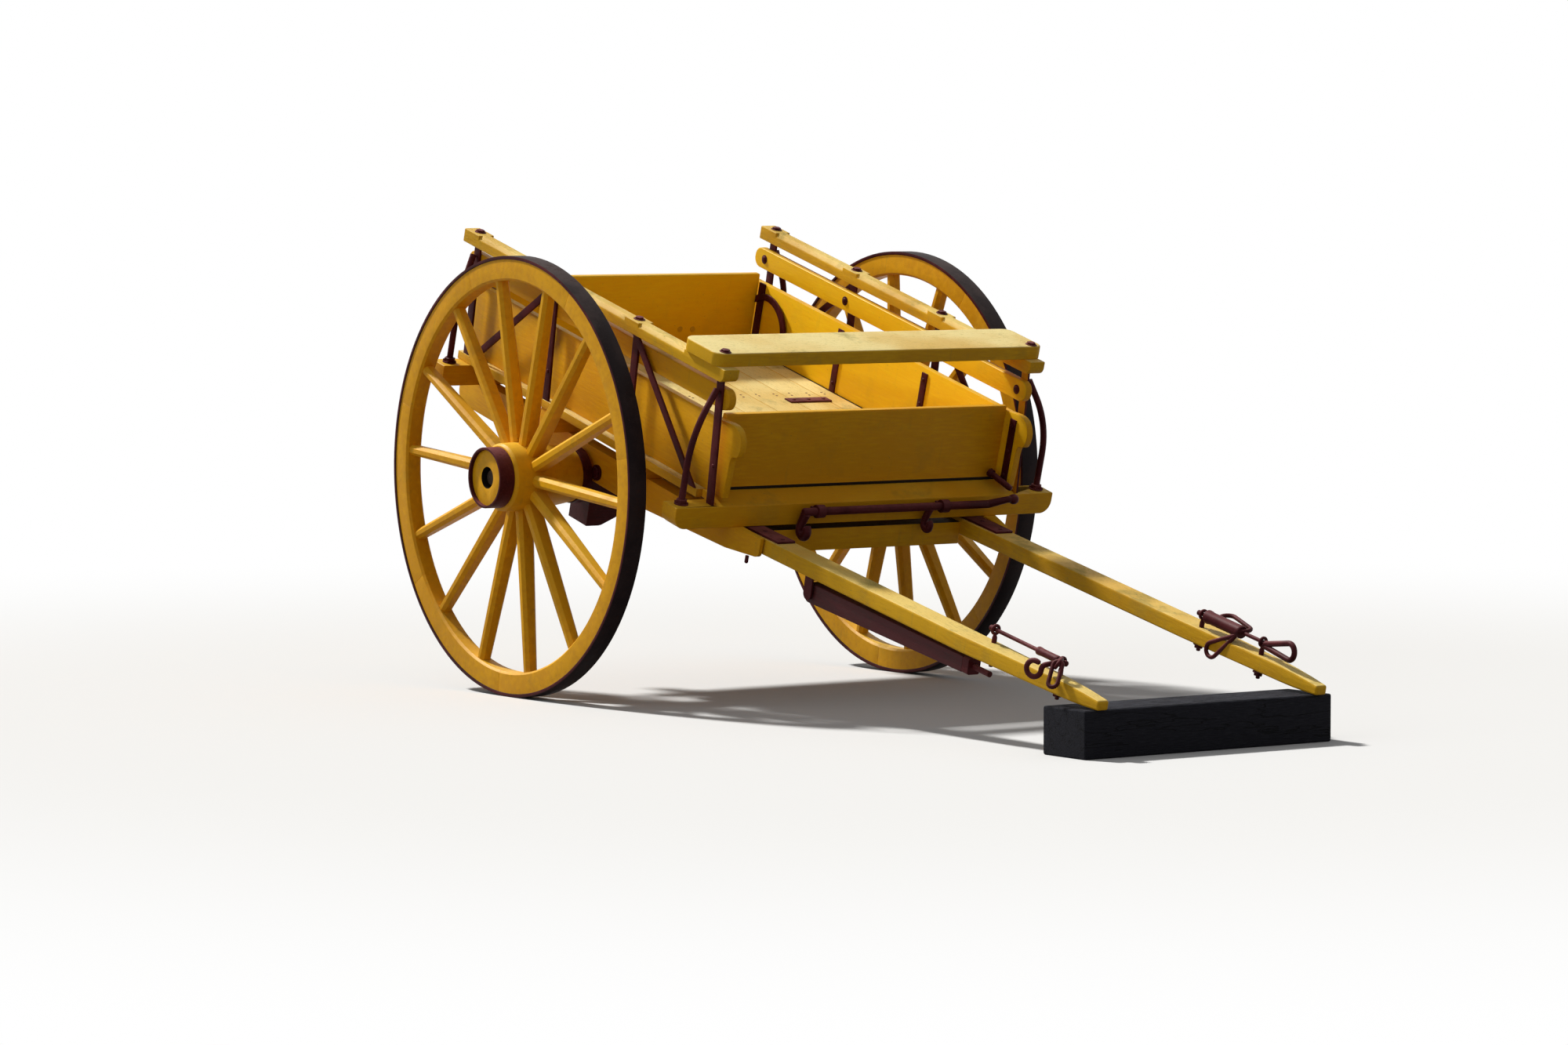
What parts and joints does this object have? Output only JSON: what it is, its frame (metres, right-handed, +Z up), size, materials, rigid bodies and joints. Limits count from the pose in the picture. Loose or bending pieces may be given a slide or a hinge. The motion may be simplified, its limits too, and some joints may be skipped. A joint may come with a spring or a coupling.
{
  "type": "tip cart",
  "caption": "Two-wheeled tipping farm cart with spoked wheels, open railed tray, seat board, tailboard and a pair of shafts resting on a block.",
  "frame": {"origin": "on the ground, at the middle of the whole cart as parked with its shaft tips on their block", "axes": "+X forward along the shafts, +Y to the left of the cart, +Z up"},
  "size_m": [3.3498, 1.78, 1.5029],
  "materials": {
    "yellow_timber": "yellow gloss enamel on timber, dusty",
    "maroon_timber": "maroon enamel on timber",
    "maroon_iron": "maroon enamel on wrought iron",
    "tyre_iron": "dark worn iron tyre",
    "axle_iron": "dull brown greased iron",
    "old_timber": "weathered dark grey sleeper"
  },
  "bodies": {
    "shafts": {"shaft_right": "yellow_timber", "shaft_left": "yellow_timber", "harness_rod_right": "maroon_iron", "harness_rod_left": "maroon_iron", "harness_sleeve_right": "maroon_iron", "harness_sleeve_left": "maroon_iron", "shaft_crossbar": "yellow_timber", "wear_plates": "maroon_iron", "prop_bracket": "maroon_iron", "rest_block": "old_timber", "harness_hook_right": "maroon_iron", "harness_hook_left": "maroon_iron"},
    "tray": {"sill_right": "yellow_timber", "sill_left": "yellow_timber", "side_panel_right": "yellow_timber", "side_panel_left": "yellow_timber", "tailboard_guides_right": "maroon_iron", "tailboard_guides_left": "maroon_iron", "top_rail_right": "yellow_timber", "top_rail_left": "yellow_timber", "mid_rail_right": "yellow_timber", "mid_rail_left": "yellow_timber", "stanchions_right": "maroon_iron", "stanchions_left": "maroon_iron", "braces_right": "maroon_iron", "braces_left": "maroon_iron", "outriggers_right": "maroon_iron", "outriggers_left": "maroon_iron", "panel_straps_right": "maroon_iron", "panel_straps_left": "maroon_iron", "front_bearer": "yellow_timber", "rear_bearer": "yellow_timber", "mid_bearers": "yellow_timber", "floor_boards": "yellow_timber", "front_board": "yellow_timber", "seat_board": "yellow_timber", "rail_bolts": "maroon_iron", "pivot_rod": "maroon_iron", "axle": "axle_iron", "axle_nuts": "axle_iron", "axle_bed": "maroon_timber", "latch_eyes": "maroon_iron", "floor_strap": "maroon_iron", "tailboard_catch_right": "maroon_iron", "tailboard_catch_left": "maroon_iron"},
    "wheel_right": {"tyre_right": "tyre_iron", "felloes_right": "yellow_timber", "spokes_right": "yellow_timber", "hub_right": "yellow_timber", "hub_bands_right": "maroon_iron"},
    "wheel_left": {"tyre_left": "tyre_iron", "felloes_left": "yellow_timber", "spokes_left": "yellow_timber", "hub_left": "yellow_timber", "hub_bands_left": "maroon_iron"},
    "tailboard": {"tailboard": "yellow_timber"},
    "tip_latch": {"latch_rod": "maroon_iron"},
    "prop": {"prop_leg": "maroon_timber", "prop_ferrule": "maroon_iron"}
  },
  "joints": [
    {"name": "tray_tip", "type": "hinge", "parent": "shafts", "child": "tray", "pos_m": [-0.82896, 0, 0.71951], "axis": [0, -1, 0], "range_deg": [0, 50]},
    {"name": "wheel_spin_right", "type": "hinge", "parent": "tray", "child": "wheel_right", "pos_m": [-0.92506, 0, 0.71], "axis": [0, 1, 0], "continuous": true},
    {"name": "wheel_spin_left", "type": "hinge", "parent": "tray", "child": "wheel_left", "pos_m": [-0.92506, 0, 0.71], "axis": [0, 1, 0], "continuous": true},
    {"name": "tailboard_lift", "type": "slide", "parent": "tray", "child": "tailboard", "axis": [0.2689, 0, 0.9632], "range_m": [0, 0.3]},
    {"name": "latch_turn", "type": "hinge", "parent": "tray", "child": "tip_latch", "pos_m": [-0.02289, 0, 0.62423], "axis": [0, -1, 0], "range_deg": [0, 80]},
    {"name": "prop_swing", "type": "hinge", "parent": "shafts", "child": "prop", "pos_m": [0.25722, -0.424, 0.39477], "axis": [0, 1, 0], "range_deg": [0, 95]}
  ]
}
